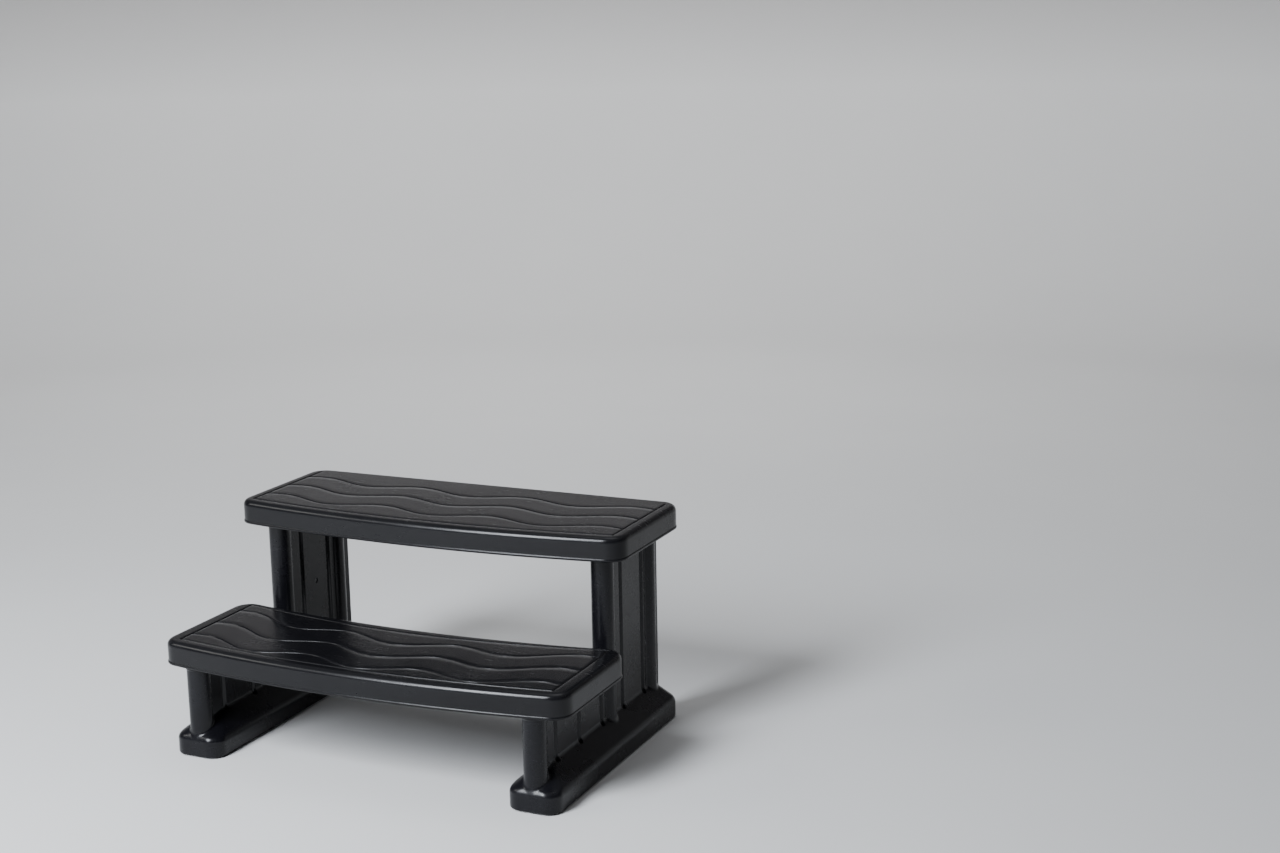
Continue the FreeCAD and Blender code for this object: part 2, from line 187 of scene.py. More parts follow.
# Name, place, aim, (width, height), watts, colour.
LIGHTS = (
    ("key_softbox", (-0.8, -2.7, 2.35), OBJECT_MIDDLE, (1.1, 1.9), 300.0, (0.90, 0.94, 1.0)),
    ("low_softbox", (-0.7, -3.2, 0.9), OBJECT_MIDDLE, (0.9, 0.7), 5.0, (0.80, 0.87, 1.0)),
    ("left_softbox", (-3.0, -1.9, 2.4), OBJECT_MIDDLE, (1.6, 0.9), 30.0, (1.0, 1.0, 0.95)),
    ("top_softbox", (0.3, 0.6, 3.3), OBJECT_MIDDLE, (2.4, 1.6), 18.0, (0.97, 0.98, 1.0)),
    ("backdrop_softbox", (-1.4, 2.6, 3.4), (-2.0, 6.0, 0.3), (3.2, 1.0), 130.0, (1.0, 1.0, 1.0)),
)
AIR_COLOUR = (0.93, 0.96, 1.0)
AIR_STRENGTH = 0.25

# The standing viewer's eye, in front of the steps and to their right.
CAMERA_PLACE = (1.6915, -2.817, 1.260)
CAMERA_RIGHT = (0.91326513, 0.40700323, -0.01718056)
CAMERA_UP = (-0.07035478, 0.19912771, 0.97744481)
CAMERA_BACK = (0.40124432, -0.89145753, 0.21049102)
CAMERA_LENS = 54.46        # in millimetres, on a sensor this wide:
CAMERA_SENSOR = 36.0


# ---- mesh helpers ------------------------------------------------------------
def make_piece(name, points, faces, material, node, normals=None):
    """A smooth-shaded piece, from points in millimetres, that stands for one CAD node."""
    mesh = bpy.data.meshes.new(name)
    mesh.from_pydata((np.asarray(points) * MM).tolist(), [], faces)
    mesh.validate()
    mesh.shade_smooth()
    if normals is not None:
        mesh.normals_split_custom_set_from_vertices(normals.tolist())
    mesh.materials.append(material)
    piece = bpy.data.objects.new(name, mesh)
    bpy.context.scene.collection.objects.link(piece)
    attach(piece, "root")
    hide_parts(node)


def smoothstep(low, high, value):
    """0 below low, 1 above high, and a smooth rise between."""
    t = np.clip((value - low) / (high - low), 0.0, 1.0)
    return t * t * (3.0 - 2.0 * t)


# ---- treads ---------------------------------------------------------------
def bow(line, x):
    """Y at x of a bowed line."""
    return line[0] + line[1] * (x / STRIP_X) ** 2


def bow_slope(line, x):
    return 2.0 * line[1] * x / STRIP_X ** 2


def grooves_of(tread):
    """Grooves across the tread from front to rear, as (mean line, wave height)."""
    borders = tread["borders"]
    grooves = [(borders[0], 0.0)] + [(line, WAVE_HEIGHT) for line in tread["waves"]]
    return grooves + [(line, 0.0) for line in borders[1:]]


def groove_y(groove, x):
    line, wave = groove
    return bow(line, x) - wave * np.cos(2.0 * math.pi * x / WAVE_PERIOD)


def groove_stretch(groove, x):
    """How much longer a groove's width is along Y than square to the groove."""
    line, wave = groove
    turn = 2.0 * math.pi / WAVE_PERIOD
    slope = bow_slope(line, x) + wave * turn * np.sin(turn * x)
    return np.sqrt(1.0 + slope ** 2)


def groove_profile(offset):
    """Depth at a distance from a groove's middle: a flat floor with rounded lips."""
    return GROOVE_DEPTH * (1.0 - smoothstep(GROOVE_FLOOR, GROOVE_LIP, np.abs(offset)))


def top_depth(tread, x, y):
    """How far the grooves cut below the top at a point."""
    depth = np.zeros_like(x)
    in_field = 1.0 - smoothstep(STRIP_X - GROOVE_FLOOR, STRIP_X + GROOVE_END, np.abs(x))
    for groove in grooves_of(tread):
        across = (y - groove_y(groove, x)) / groove_stretch(groove, x)
        depth = np.maximum(depth, groove_profile(across) * in_field)
    start = bow(tread["borders"][0], STRIP_X)
    past_end = smoothstep(0.0, GROOVE_END, y - tread["strip_end"])
    in_strip = smoothstep(start - GROOVE_END, start, y) * (1.0 - past_end)
    return np.maximum(depth, groove_profile(np.abs(x) - STRIP_X) * in_strip)


def groove_offsets():
    """Distances from a groove's middle where the mesh has a line."""
    steps = np.array(GROOVE_LINES)
    return np.concatenate([-steps[:0:-1], steps])


def field_columns():
    """X of the mesh's columns: close together across the strip grooves at both ends."""
    inner = STRIP_X - GROOVE_REACH
    count = int(2 * inner / COLUMN_PITCH)
    middle = np.linspace(-inner, inner, count)[1:-1]
    return np.concatenate([-STRIP_X + groove_offsets(), middle, STRIP_X + groove_offsets()])


def field_rows(tread, xs):
    """Rows of Y values over the columns: close together across each groove, sparse on the lands."""
    bands = []
    for groove in grooves_of(tread):
        middle = groove_y(groove, xs)
        stretch = groove_stretch(groove, xs)
        bands.append([middle + offset * stretch for offset in groove_offsets()])
    if len(tread["borders"]) == 1:
        end = tread["strip_end"]
        bands.append([np.full_like(xs, end + step) for step in STRIP_END_LINES])
    rows = list(bands[0])
    for band in bands[1:]:
        last = rows[-1]
        for share in np.linspace(0.0, 1.0, LAND_ROWS + 2)[1:-1]:
            rows.append(last + (band[0] - last) * share)
        rows += band
    return np.array(rows)


def corner_arc(line, half, sign):
    """Corner at +x between an end and a line (-1 front, +1 rear): its centre, and the line's normal and x."""
    x = half - CORNER
    settling_rounds = 4
    for _ in range(settling_rounds):
        slope = bow_slope(line, x)
        normal = sign * np.array([-slope, 1.0]) / math.hypot(slope, 1.0)
        x = half - CORNER + CORNER * normal[0]
    centre = np.array([half - CORNER, bow(line, x) - CORNER * normal[1]])
    return centre, normal, x


def outline_sides(tread, half):
    """Outline as four paths of (x, y, normal x, normal y), each from the middle of one corner to the next."""
    def arc(centre, start, end):
        angles = np.linspace(start, end, ARC_POINTS)
        normals = np.stack([np.cos(angles), np.sin(angles)], 1)
        return np.hstack([centre + CORNER * normals, normals])

    def run(line, sign, xs):
        slope = bow_slope(line, xs)
        length = np.hypot(slope, 1.0)
        return np.stack([xs, bow(line, xs), -sign * slope / length, sign / length], 1)

    def mirrored(path):
        return path[::-1] * np.array([-1.0, 1.0, -1.0, 1.0])

    front_centre, front_normal, front_x = corner_arc(tread["front"], half, -1)
    rear_centre, rear_normal, rear_x = corner_arc(tread["rear"], half, 1)
    front_turn = math.atan2(front_normal[1], front_normal[0])
    rear_turn = math.atan2(rear_normal[1], rear_normal[0])
    front_half = np.vstack([
        run(tread["front"], -1, np.linspace(0.0, front_x, RUN_POINTS)),
        arc(front_centre, front_turn, front_turn / 2)[1:],
    ])
    end = np.vstack([arc(front_centre, front_turn / 2, 0.0), arc(rear_centre, 0.0, rear_turn / 2)])
    rear_half = np.vstack([
        arc(rear_centre, rear_turn / 2, rear_turn),
        run(tread["rear"], 1, np.linspace(rear_x, 0.0, RUN_POINTS))[1:],
    ])
    front = np.vstack([mirrored(front_half)[:-1], front_half])
    rear = np.vstack([rear_half, mirrored(rear_half)[1:]])
    return [front, end, rear, mirrored(end)]


def shares_along(points):
    """Share of the path's length at each of its points."""
    steps = np.hypot(*np.diff(points[:, :2], axis=0).T)
    travelled = np.concatenate([[0.0], np.cumsum(steps)])
    return travelled / travelled[-1]


def sweep_profile(top):
    """Section through a tread's edge, as (distance outside the outline, z): bullnose, skirt, bead, inside."""
    bottom = top - SKIRT_DEPTH
    points = []
    for turn in np.linspace(0.0, math.pi / 2, BULLNOSE_POINTS):
        points.append((-BULLNOSE + BULLNOSE * math.sin(turn), top - BULLNOSE + BULLNOSE * math.cos(turn)))
    for z in np.linspace(top - BULLNOSE - 2.0, bottom + 5.4, SKIRT_POINTS):
        points.append((0.0, z))
    for turn in np.linspace(0.0, math.pi, BEAD_POINTS):
        points.append((BEAD * math.sin(turn), bottom + BEAD_HALF + BEAD_HALF * math.cos(turn)))
    wall = -SKIRT_WALL
    under = top - PLATE
    points += [(-0.8, bottom), (wall + 0.8, bottom), (wall + 0.2, bottom + 0.3), (wall, bottom + 1.0)]
    points += [(wall, under - 12.0), (wall, under - 2.0), (wall - 0.6, under - 0.6), (wall - 2.0, under)]
    return points


def rib_box(points, faces, low, high):
    """One rib with a rounded lower edge, added to a mesh as its own closed body."""
    x0, y0, z0 = low
    x1, y1, z1 = high
    rings = ((z1, 0.0), (z0 + RIB_ROUND, 0.0), (z0 + 0.2, 0.25), (z0, RIB_ROUND))
    start = len(points)
    for z, inset in rings:
        points += [
            (x0 + inset, y0 + inset, z), (x1 - inset, y0 + inset, z),
            (x1 - inset, y1 - inset, z), (x0 + inset, y1 - inset, z),
        ]
    faces.append((start, start + 1, start + 2, start + 3))
    for ring in range(len(rings) - 1):
        for side in range(4):
            a = start + 4 * ring + side
            b = start + 4 * ring + (side + 1) % 4
            faces.append((a, a + 4, b + 4, b))
    last = start + 4 * (len(rings) - 1)
    faces.append((last + 3, last + 2, last + 1, last))


def add_ribs(points, faces, tread, top, panel_x):
    """Grid of ribs under the plate, and the pairs of ribs that straddle each panel's rail."""
    z0 = top - PLATE - RIB_DEPTH
    z1 = top - PLATE + RIB_BITE
    xs = [(i - (CROSS_RIB_COUNT - 1) / 2) * CROSS_RIB_PITCH - RIB / 2 for i in range(CROSS_RIB_COUNT)]
    for side in (-1, 1):
        xs += [side * panel_x - SOCKET_RIB_X - RIB, side * panel_x + SOCKET_RIB_X]
    for x in xs:
        y0 = bow(tread["front"], x + RIB / 2) + SKIRT_WALL - RIB_BITE
        y1 = bow(tread["rear"], x + RIB / 2) - SKIRT_WALL + RIB_BITE
        rib_box(points, faces, (x, y0, z0), (x + RIB, y1, z1))
    reach = panel_x - SOCKET_RIB_X
    for share in (1 / 3, 2 / 3):
        y = tread["front"][0] + (tread["rear"][0] - tread["front"][0]) * share
        rib_box(points, faces, (-reach, y, z0), (reach, y + RIB, z1))


def field_mesh(tread, top):
    """Points and quads of the grooved field, and its four edges as lists of points, front edge first."""
    xs = field_columns()
    rows = field_rows(tread, xs)
    count_y, count_x = rows.shape
    grid_x = np.broadcast_to(xs, rows.shape)
    grid_z = top - top_depth(tread, grid_x, rows)
    points = np.stack([grid_x, rows, grid_z], 2).reshape(-1, 3).tolist()
    faces = []
    for j in range(count_y - 1):
        for i in range(count_x - 1):
            a = j * count_x + i
            faces.append((a, a + 1, a + count_x + 1, a + count_x))
    last = (count_y - 1) * count_x
    edges = [
        list(range(count_x)),
        [j * count_x + count_x - 1 for j in range(count_y)],
        list(range(last + count_x - 1, last - 1, -1)),
        [j * count_x for j in range(count_y - 1, -1, -1)],
    ]
    return points, faces, edges


def match_outline(tread, half, points, edges):
    """The field's edge as one loop of points, and the outline's x, y and normal beside each of them."""
    loop = []
    outline = []
    for edge, path in zip(edges, outline_sides(tread, half)):
        shares = shares_along(np.array([points[k] for k in edge]))
        along = shares_along(path)
        target = np.stack([np.interp(shares, along, path[:, k]) for k in range(4)], 1)
        loop += edge[:-1]
        outline.append(target[:-1])
    outline = np.vstack(outline)
    outline[:, 2:] /= np.hypot(outline[:, 2], outline[:, 3])[:, None]
    return loop, outline


def edge_rings(tread, top, field_edge, outline):
    """Rings of points over the plain margin of the top, then round the section of the tread's edge."""
    profile = sweep_profile(top)
    rings = []
    bull_start = outline[:, :2] + outline[:, 2:] * profile[0][0]
    for share in MARGIN_SHARES:
        flat = field_edge[:, :2] * (1 - share) + bull_start * share
        z = top - top_depth(tread, flat[:, 0], flat[:, 1])
        rings.append(np.column_stack([flat, z]))
    for out, z in profile:
        flat = outline[:, :2] + outline[:, 2:] * out
        rings.append(np.column_stack([flat, np.full(len(flat), z)]))
    return rings


def join_rings(points, faces, loop, rings):
    """Adds rings to a mesh, each joined to the one before, from a loop of the mesh to a closing face."""
    previous = loop
    for ring in rings:
        start = len(points)
        points += ring.tolist()
        current = list(range(start, start + len(ring)))
        for k in range(len(ring)):
            n = (k + 1) % len(ring)
            faces.append((previous[k], current[k], current[n], previous[n]))
        previous = current
    faces.append(tuple(previous[::-1]))


def make_tread(node, material, panel_x):
    """A tread with soft grooves, bullnose, skirt, bead and ribs, in one mesh that follows its lines."""
    tread = TREADS[node]
    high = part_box(node)[1]
    half = high.x / MM - BEAD
    top = high.z / MM
    points, faces, edges = field_mesh(tread, top)
    loop, outline = match_outline(tread, half, points, edges)
    field_edge = np.array([points[k] for k in loop])
    join_rings(points, faces, loop, edge_rings(tread, top, field_edge, outline))
    add_ribs(points, faces, tread, top, panel_x)
    make_piece(node + "_moulding", points, faces, material, node)


# ---- side panels: a distance field turned into a mesh ---------------------------
def fuse(a, b, radius):
    """Union of two distances with a fillet of about that radius in the inside corner."""
    u = np.maximum(radius - a, 0.0)
    v = np.maximum(radius - b, 0.0)
    return np.maximum(radius, np.minimum(a, b)) - np.hypot(u, v)


def common(a, b, radius):
    """Intersection of two distances with its outside edge rounded."""
    u = np.maximum(radius + a, 0.0)
    v = np.maximum(radius + b, 0.0)
    return np.minimum(-radius, np.maximum(a, b)) + np.hypot(u, v)


def between(value, low, high):
    """Distance outside a range."""
    return np.maximum(low - value, value - high)


def rounded_plan(x, y, half, half_length, corner):
    """Distance in plan from a rectangle with rounded corners, centred on the origin."""
    qx = np.abs(x) - (half - corner)
    qy = np.abs(y) - (half_length - corner)
    outside = np.hypot(np.maximum(qx, 0.0), np.maximum(qy, 0.0))
    return outside + np.minimum(np.maximum(qx, qy), 0.0) - corner


def base_distance(x, y, z, size):
    """Flared base: an upright side and a shoulder that slopes up to the web."""
    def slope(outside, wall_top, run):
        rise = ROOF_TOP - wall_top
        return (outside * rise + (z - wall_top) * run) / math.hypot(rise, run)

    middle = (size["front"] + size["rear"]) / 2
    half_length = (size["rear"] - size["front"]) / 2
    side = slope(x - size["half"], BASE_WALL_TOP, size["half"] - WEB_HALF)
    front = slope(size["front"] - y, FRONT_WALL_TOP, FRONT_RUN)
    rear = slope(y - size["rear"], BASE_WALL_TOP, ROOF_RUN)
    roof = common(side, np.maximum(front, rear), SHOULDER_ROUND)
    walls = rounded_plan(x, y - middle, size["half"], half_length, BASE_CORNER)
    base = common(walls, roof, RIDGE_ROUND)
    return common(base, size["floor"] - z, EDGE_ROUND)


def rail_distance(x, y, z, rail):
    """Rail under a tread, with a round front end."""
    front, rear, bottom, top = rail
    plan = np.hypot(x, np.maximum(front - y, 0.0)) - RAIL_R
    plan = common(plan, y - rear, RAIL_END_ROUND)
    return common(plan, between(z, bottom, top), RAIL_EDGE_ROUND)


def section_distance(x, y, z, posts, rail, web_rear, shelf):
    """Posts, web and rail of the low or the tall section."""
    section = common(x - WEB_HALF, between(y, posts[0], rail[1]), EDGE_ROUND)
    section = np.maximum(section, z - rail[3])
    tail = common(x - WEB_HALF, between(y, posts[0], web_rear), TAIL_ROUND)
    section = np.minimum(section, common(tail, z - shelf, EDGE_ROUND))
    for post in posts:
        column = np.maximum(np.hypot(x, y - post) - POST_R, z - rail[3])
        section = fuse(section, column, POST_FILLET)
    return fuse(section, rail_distance(x, y, z, rail), EDGE_ROUND)


def panel_distance(x, y, z, size, is_inner):
    """Distance from a whole side panel, seen from one of its halves."""
    low = section_distance(x, y, z, (LOWER_POST_Y,), LOWER_RAIL, UPPER_POST_Y, LOWER_SHELF)
    tall = section_distance(x, y, z, (UPPER_POST_Y, REAR_POST_Y), UPPER_RAIL, WEB_REAR, UPPER_SHELF)
    solid = fuse(low, tall, EDGE_ROUND)
    solid = fuse(solid, base_distance(x, y, z, size), FOOT_ROUND)
    for y_flute, z_top in zip(FLUTE_YS, FLUTE_TOPS):
        channel = np.hypot(x - (WEB_HALF + FLUTE_R - FLUTE_DEPTH), y - y_flute) - FLUTE_R
        channel = common(channel, between(z, FLUTE_FROM_Z, z_top), FLUTE_END_ROUND)
        solid = common(solid, -channel, FLUTE_LIP_ROUND)
    if is_inner:
        for y_screw, z_screw in PANEL_SCREWS:
            recess = np.maximum(np.hypot(y - y_screw, z - z_screw) - RECESS_R, RECESS_SEAT - x)
            solid = common(solid, -recess, RECESS_ROUND)
    for y_pad in PAD_YS:
        recess = rounded_plan(x, y - y_pad, PAD_HALF, PAD_HALF_LENGTH, PAD_CORNER)
        solid = np.maximum(solid, -np.maximum(recess, z - PAD_TOP))
    return solid


def gradient(points, distance):
    """Slope of a distance at points."""
    step = 0.02
    slopes = []
    for axis in range(3):
        shift = np.zeros(3)
        shift[axis] = step
        ahead = distance(*(points + shift).T)
        behind = distance(*(points - shift).T)
        slopes.append((ahead - behind) / (2 * step))
    return np.stack(slopes, 1)


def towards_skin(points, slope, distance, longest):
    """Points moved down the slope to a distance's zero level, by no more than longest along an axis."""
    least_slope = 0.2
    length = np.maximum((slope ** 2).sum(1), least_slope)
    return points - np.clip(slope * (distance(*points.T) / length)[:, None], -longest, longest)


def sharpen_joint(points, faces, whole):
    """Moves the points round the joint's rim to the panel's skin, so that the halves meet in a hairline."""
    near = points[:, 0] < JOINT_REACH
    held = near[faces]
    crossing = held.any(1) & ~held.all(1)
    rim = np.unique(faces[crossing][held[crossing]])
    edge = points[rim]
    edge[:, 0] = JOINT_GAP
    in_plane = np.array([0.0, 1.0, 1.0])
    for _ in range(RIM_ROUNDS):
        edge = towards_skin(edge, gradient(edge, whole) * in_plane, whole, RIM_MOVE)
    points[rim] = edge


def grid_lines(low, high, coarse, spots):
    """Grid lines from low to high, at most coarse apart and finer near spots of (place, reach, step)."""
    lines = [low]
    while lines[-1] < high:
        at = lines[-1]
        step = coarse
        for place, reach, fine in spots:
            step = min(step, fine + GRID_GROWTH * max(0.0, abs(at - place) - reach))
        lines.append(at + step)
    return np.array(lines)


def panel_grid(size, is_inner):
    """Grid lines across, along and up a half shell, close together where its shape turns."""
    across = [(0.0, *GRID_AT_JOINT), (WEB_HALF, *GRID_AT_WEB)]
    along = [(y, *GRID_AT_FLUTE) for y in FLUTE_YS]
    up = [
        (size["floor"], *GRID_AT_SOLE),
        (BASE_WALL_TOP, *GRID_AT_SHOULDER),
        (FLUTE_FROM_Z, *GRID_AT_FLUTE_FOOT),
    ]
    up += [(rail[2], *GRID_AT_RAIL) for rail in (LOWER_RAIL, UPPER_RAIL)]
    up += [(shelf, *GRID_AT_SHELF) for shelf in (LOWER_SHELF, UPPER_SHELF)]
    if is_inner:
        along += [(y, *GRID_AT_SCREW) for y, z in PANEL_SCREWS]
        up += [(z, *GRID_AT_SCREW) for y, z in PANEL_SCREWS]
    xs = grid_lines(-0.6, size["half"] + 1.5, GRID_STEPS[0], across)
    ys = grid_lines(size["front"] - 2.0, size["rear"] + 2.0, GRID_STEPS[1], along)
    zs = grid_lines(size["floor"] - 1.5, size["top"] + 2.0, GRID_STEPS[2], up)
    return xs, ys, zs


def net_points(cells, values, lines):
    """For each cell, the mean of the places where its edges cross the zero level."""
    total = np.zeros((len(cells), 3))
    weight = np.zeros(len(cells))
    for start in CELL_CORNERS:
        for axis in range(3):
            if start[axis]:
                continue
            a = cells + np.array(start)
            b = a.copy()
            b[:, axis] += 1
            da = values[tuple(a.T)]
            db = values[tuple(b.T)]
            cross = (da < 0.0) != (db < 0.0)
            share = np.where(cross, da / np.where(cross, da - db, 1.0), 0.0)
            pa = np.stack([lines[n][a[:, n]] for n in range(3)], 1)
            pb = np.stack([lines[n][b[:, n]] for n in range(3)], 1)
            total += np.where(cross[:, None], pa + (pb - pa) * share[:, None], 0.0)
            weight += cross
    return total / weight[:, None]


def net_faces(cells, inside):
    """A quad round each grid line's step through the surface, facing outwards."""
    index = np.full([n - 1 for n in inside.shape], -1, np.int64)
    index[tuple(cells.T)] = np.arange(len(cells))
    faces = []
    for axis in range(3):
        u, v = (axis + 1) % 3, (axis + 2) % 3
        near = np.moveaxis(inside, (axis, u, v), (0, 1, 2))
        ids = np.moveaxis(index, (axis, u, v), (0, 1, 2))
        changes = near[:-1, 1:-1, 1:-1] != near[1:, 1:-1, 1:-1]
        i, j, k = np.nonzero(changes)
        quad = np.stack([ids[i, j, k], ids[i, j + 1, k], ids[i, j + 1, k + 1], ids[i, j, k + 1]], 1)
        outward = near[i, j + 1, k + 1]
        quad[~outward] = quad[~outward][:, ::-1]
        faces.append(quad)
    return np.vstack(faces)


def surface_net(xs, ys, zs, distance):
    """Quads over the zero level of a distance, one point in each grid cell that it crosses."""
    values = distance(*np.meshgrid(xs, ys, zs, indexing="ij"))
    inside = values < 0.0
    nx, ny, nz = (n - 1 for n in values.shape)
    filled = sum(inside[i:nx + i, j:ny + j, k:nz + k].astype(np.int8) for i, j, k in CELL_CORNERS)
    cells = np.argwhere((filled > 0) & (filled < len(CELL_CORNERS)))
    return net_points(cells, values, (xs, ys, zs)), net_faces(cells, inside)


def half_shell_mesh(size, is_inner):
    """Points, quads and normals of one half of a side panel."""
    def whole(x, y, z):
        return panel_distance(x, y, z, size, is_inner)

    def distance(x, y, z):
        return np.maximum(whole(x, y, z), JOINT_GAP - x)

    points, faces = surface_net(*panel_grid(size, is_inner), distance)
    for _ in range(SKIN_ROUNDS):
        points = towards_skin(points, gradient(points, distance), distance, SKIN_MOVE)
    sharpen_joint(points, faces, whole)
    on_skin = whole(*points.T) > -0.3
    normals = np.where(on_skin[:, None], gradient(points, whole), gradient(points, distance))
    normals /= np.maximum(np.linalg.norm(normals, axis=1), 1e-6)[:, None]
    return points, faces, normals


def make_panels(material):
    """The four half shells: two meshes, each used as it is and mirrored."""
    low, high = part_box("right_panel_outer_shell")
    size = {
        "half": (high.x - low.x) / MM,
        "front": low.y / MM,
        "rear": high.y / MM,
        "floor": low.z / MM,
        "top": high.z / MM,
    }
    panel_x = low.x / MM
    for half in ("outer", "inner"):
        points, faces, normals = half_shell_mesh(size, half == "inner")
        for word, side in (("left", -1), ("right", 1)):
            facing = side if half == "outer" else -side
            flip = np.array([facing, 1.0, 1.0])
            placed = points * flip + np.array([side * panel_x, 0.0, 0.0])
            turned = faces if facing > 0 else faces[:, ::-1]
            node = word + "_panel_" + half + "_shell"
            name = node + "_moulding"
            make_piece(name, placed, turned.tolist(), material, node, normals * flip)
    return panel_x


# ---- materials -----------------------------------------------------------
class Nodes:
    """Short way to add and join a material's nodes."""

    def __init__(self, name):
        self.material = bpy.data.materials.new(name)
        self.material.use_nodes = True
        self.tree = self.material.node_tree
        self.shader = self.tree.nodes["Principled BSDF"]
        self.place = self.tree.nodes.new("ShaderNodeTexCoord").outputs["Object"]

    def link(self, output, socket):
        self.tree.links.new(output, socket)

    def stretched(self, scale):
        """Object coordinates scaled by axis."""
        mapping = self.tree.nodes.new("ShaderNodeMapping")
        mapping.inputs["Scale"].default_value = scale
        self.link(self.place, mapping.inputs["Vector"])
        return mapping.outputs["Vector"]

    def noise(self, scale, detail=2.0, roughness=0.5, place=None):
        node = self.tree.nodes.new("ShaderNodeTexNoise")
        node.inputs["Scale"].default_value = scale
        node.inputs["Detail"].default_value = detail
        node.inputs["Roughness"].default_value = roughness
        self.link(place or self.place, node.inputs["Vector"])
        return node.outputs["Fac"]

    def cells(self, scale):
        node = self.tree.nodes.new("ShaderNodeTexVoronoi")
        node.feature = "SMOOTH_F1"
        node.inputs["Scale"].default_value = scale
        self.link(self.place, node.inputs["Vector"])
        return node.outputs["Distance"]

    def spread(self, value, low, high, to_low, to_high):
        """Value mapped from one range to another."""
        node = self.tree.nodes.new("ShaderNodeMapRange")
        for name, number in (("From Min", low), ("From Max", high), ("To Min", to_low), ("To Max", to_high)):
            node.inputs[name].default_value = number
        self.link(value, node.inputs["Value"])
        return node.outputs["Result"]

    def add(self, a, b):
        node = self.tree.nodes.new("ShaderNodeMath")
        node.operation = "ADD"
        self.link(a, node.inputs[0])
        self.link(b, node.inputs[1])
        return node.outputs["Value"]

    def tint(self, value, first, second):
        """Colour between two; the first is a tone or comes from another node."""
        node = self.tree.nodes.new("ShaderNodeMix")
        node.data_type = "RGBA"
        colours = [socket for socket in node.inputs if socket.type == "RGBA"]
        if isinstance(first, tuple):
            colours[0].default_value = (*first, 1.0)
        else:
            self.link(first, colours[0])
        colours[1].default_value = (*second, 1.0)
        self.link(value, node.inputs["Factor"])
        return [socket for socket in node.outputs if socket.type == "RGBA"][0]

    def bump(self, height, distance, strength, before=None):
        node = self.tree.nodes.new("ShaderNodeBump")
        node.inputs["Distance"].default_value = distance
        node.inputs["Strength"].default_value = strength
        self.link(height, node.inputs["Height"])
        if before is not None:
            self.link(before, node.inputs["Normal"])
        return node.outputs["Normal"]


def moulded_plastic(name, dark, light, roughness, grain):
    """Black moulded polymer: fine mould grain, slow sink ripples, faint scuffs and uneven gloss."""
    nodes = Nodes(name)
    mottling = nodes.noise(scale=9.0, detail=5.0, roughness=0.6)
    speckle = nodes.noise(scale=420.0, detail=2.0)
    colour = nodes.tint(nodes.spread(nodes.add(mottling, speckle), 0.7, 1.3, 0.0, 1.0), dark, light)
    nodes.link(colour, nodes.shader.inputs["Base Color"])
    scuffs = nodes.noise(scale=30.0, detail=6.0, roughness=0.7, place=nodes.stretched((1.0, 9.0, 4.0)))
    gloss = nodes.add(
        nodes.spread(mottling, 0.3, 0.7, roughness - 0.03, roughness + 0.05),
        nodes.spread(scuffs, 0.55, 0.8, 0.0, 0.07),
    )
    nodes.link(gloss, nodes.shader.inputs["Roughness"])
    ripples = nodes.bump(nodes.noise(scale=7.0, detail=1.0), distance=0.004, strength=0.12)
    skin = nodes.bump(nodes.cells(scale=900.0), distance=0.0002, strength=grain, before=ripples)
    skin = nodes.bump(nodes.noise(scale=1600.0, detail=3.0), distance=0.00012, strength=grain, before=skin)
    nodes.link(skin, nodes.shader.inputs["Normal"])
    nodes.shader.inputs["IOR"].default_value = 1.5
    nodes.shader.inputs["Specular IOR Level"].default_value = 0.25
    return nodes.material


def pad_rubber():
    """Dull black rubber with a dusty bloom."""
    nodes = Nodes("pad_rubber")
    bloom = nodes.noise(scale=60.0, detail=5.0, roughness=0.65)
    colour = nodes.tint(bloom, (0.010, 0.010, 0.010), (0.035, 0.034, 0.033))
    nodes.link(colour, nodes.shader.inputs["Base Color"])
    nodes.link(nodes.spread(bloom, 0.3, 0.7, 0.62, 0.82), nodes.shader.inputs["Roughness"])
    skin = nodes.bump(nodes.noise(scale=900.0, detail=4.0), distance=0.0003, strength=0.5)
    nodes.link(skin, nodes.shader.inputs["Normal"])
    return nodes.material


def screw_steel():
    """Dark, stained steel with fine turning marks."""
    nodes = Nodes("screw_steel")
    stain = nodes.noise(scale=350.0, detail=4.0)
    colour = nodes.tint(stain, (0.05, 0.05, 0.052), (0.11, 0.11, 0.115))
    nodes.link(colour, nodes.shader.inputs["Base Color"])
    nodes.link(nodes.spread(stain, 0.3, 0.7, 0.22, 0.4), nodes.shader.inputs["Roughness"])
    turned = nodes.noise(scale=2500.0, place=nodes.stretched((0.1, 1.0, 1.0)))
    nodes.link(nodes.bump(turned, distance=0.0001, strength=0.3), nodes.shader.inputs["Normal"])
    nodes.shader.inputs["Metallic"].default_value = 1.0
    return nodes.material


def dress_cad_nodes(rubber, steel):
    """Screws and foot pads keep their CAD shape and get their material and softer edges."""
    for name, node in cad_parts.items():
        is_pad = name.endswith("foot_pad")
        if not (is_pad or name.endswith("screws")):
            continue
        node.data.materials.clear()
        node.data.materials.append(rubber if is_pad else steel)
        softened = node.modifiers.new("soft_edges", "BEVEL")
        softened.width = PAD_SOFTENING if is_pad else SCREW_SOFTENING
        softened.segments = 2
        softened.limit_method = "ANGLE"
        softened.angle_limit = SHARP_ANGLE


# ---- studio ------------------------------------------------------------------
def backdrop_profile():
    """Section of the floor and backdrop, as (radius, z)."""
    flat = FLOOR_RADII[-1]
    profile = [(radius, 0.0) for radius in FLOOR_RADII]
    for turn in np.linspace(0.0, math.pi / 2, SWEEP_POINTS)[1:]:
        profile.append((flat + SWEEP * math.sin(turn), SWEEP - SWEEP * math.cos(turn)))
    return profile + [(flat + SWEEP, z) for z in np.linspace(SWEEP, BACKDROP_TOP, BACKDROP_POINTS)[1:]]


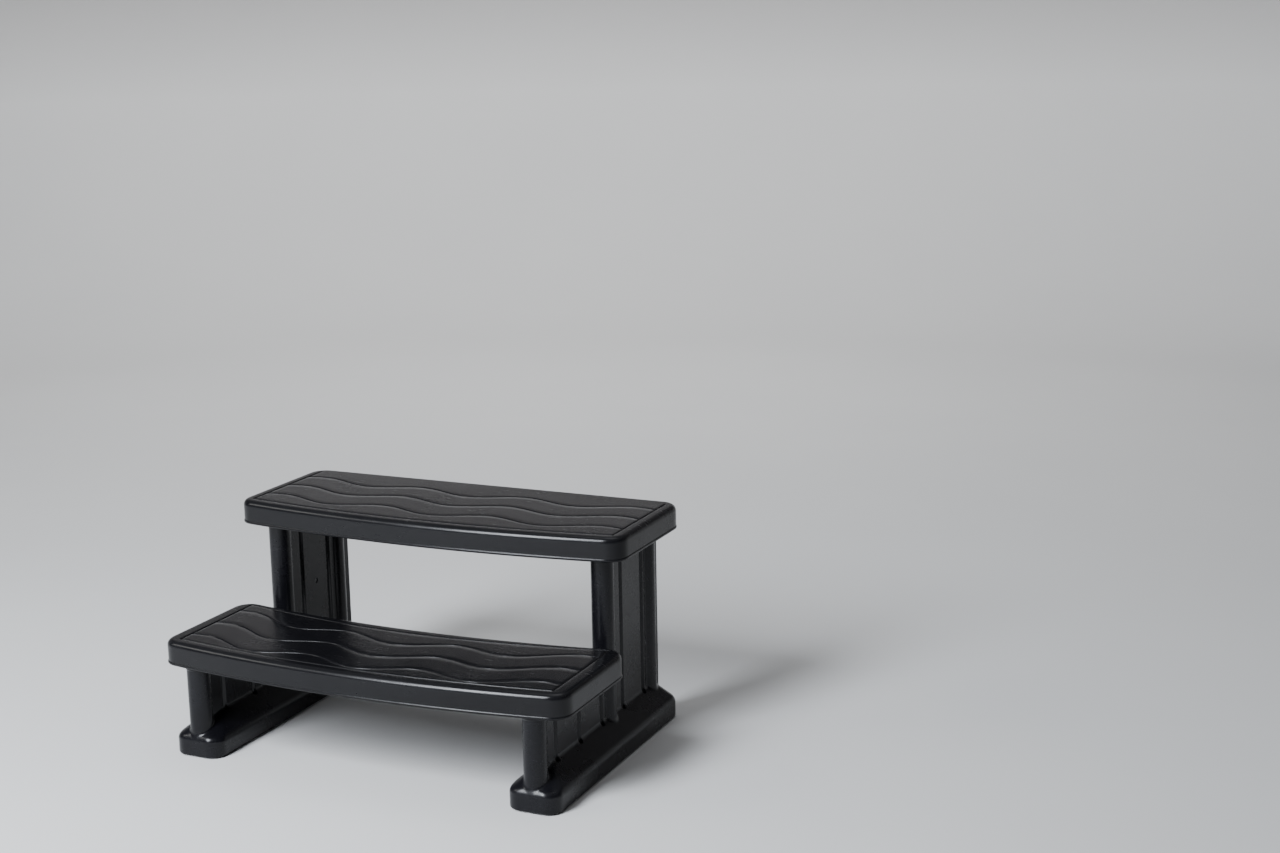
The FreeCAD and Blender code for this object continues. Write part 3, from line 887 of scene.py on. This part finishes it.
def studio_paper():
    """Pale matt paper, with painted shade that darkens it with height."""
    nodes = Nodes("studio_paper")
    split = nodes.tree.nodes.new("ShaderNodeSeparateXYZ")
    nodes.link(nodes.place, split.inputs["Vector"])
    paper = nodes.tint(nodes.noise(scale=1.5, detail=3.0), *PAPER)
    # Painted shade: the paper's colour turns darker with height.
    painted_shade = nodes.spread(split.outputs["Z"], PAINTED_SHADE_FROM, PAINTED_SHADE_TO, 0.0, 1.0)
    nodes.link(nodes.tint(painted_shade, paper, BACKDROP_PAINTED_SHADE), nodes.shader.inputs["Base Color"])
    nodes.shader.inputs["Roughness"].default_value = 0.9
    nodes.shader.inputs["Specular IOR Level"].default_value = 0.2
    return nodes.material


def make_floor():
    """Pale studio floor that curves up into a round backdrop."""
    profile = backdrop_profile()
    sides = BACKDROP_SIDES
    points = []
    faces = []
    for radius, z in profile:
        for k in range(sides):
            turn = 2.0 * math.pi * k / sides
            points.append((max(radius, PINHOLE) * math.cos(turn), max(radius, PINHOLE) * math.sin(turn), z))
    for ring in range(len(profile) - 1):
        for k in range(sides):
            n = (k + 1) % sides
            a = ring * sides
            faces.append((a + k, a + sides + k, a + sides + n, a + n))
    mesh = bpy.data.meshes.new("studio_floor")
    mesh.from_pydata(points, [], faces)
    mesh.shade_smooth()
    mesh.materials.append(studio_paper())
    floor = bpy.data.objects.new("studio_floor", mesh)
    bpy.context.scene.collection.objects.link(floor)


def area_light(name, place, target, size, power, colour):
    light = bpy.data.lights.new(name, "AREA")
    light.shape = "RECTANGLE"
    light.size, light.size_y = size
    light.energy = power
    light.color = colour
    lamp = bpy.data.objects.new(name, light)
    bpy.context.scene.collection.objects.link(lamp)
    lamp.location = place
    towards = Vector(target) - lamp.location
    lamp.rotation_mode = "QUATERNION"
    lamp.rotation_quaternion = towards.to_track_quat("-Z", "Y")


def make_lights():
    for row in LIGHTS:
        area_light(*row)
    world = bpy.data.worlds.new("studio_air")
    world.use_nodes = True
    air = world.node_tree.nodes["Background"]
    air.inputs["Color"].default_value = (*AIR_COLOUR, 1.0)
    air.inputs["Strength"].default_value = AIR_STRENGTH
    bpy.context.scene.world = world


def make_camera():
    lens = bpy.data.cameras.new("camera")
    lens.sensor_width = CAMERA_SENSOR
    lens.lens = CAMERA_LENS
    camera = bpy.data.objects.new("camera", lens)
    bpy.context.scene.collection.objects.link(camera)
    columns = (CAMERA_RIGHT, CAMERA_UP, CAMERA_BACK, CAMERA_PLACE)
    camera.matrix_world = Matrix([[column[k] for column in columns] for k in range(3)] + [[0, 0, 0, 1]])
    bpy.context.scene.camera = camera


# ---- scene -----------------------------------------------------------------------
def main():
    make_camera()
    make_floor()
    make_lights()
    tread_plastic = moulded_plastic(
        "tread_plastic", dark=(0.003, 0.003, 0.004), light=(0.006, 0.006, 0.007), roughness=0.23, grain=0.2
    )
    panel_plastic = moulded_plastic(
        "panel_plastic", dark=(0.003, 0.003, 0.004), light=(0.006, 0.006, 0.008), roughness=0.26, grain=0.2
    )
    panel_x = make_panels(panel_plastic)
    for node in TREADS:
        make_tread(node, tread_plastic, panel_x)
    dress_cad_nodes(pad_rubber(), screw_steel())


main()
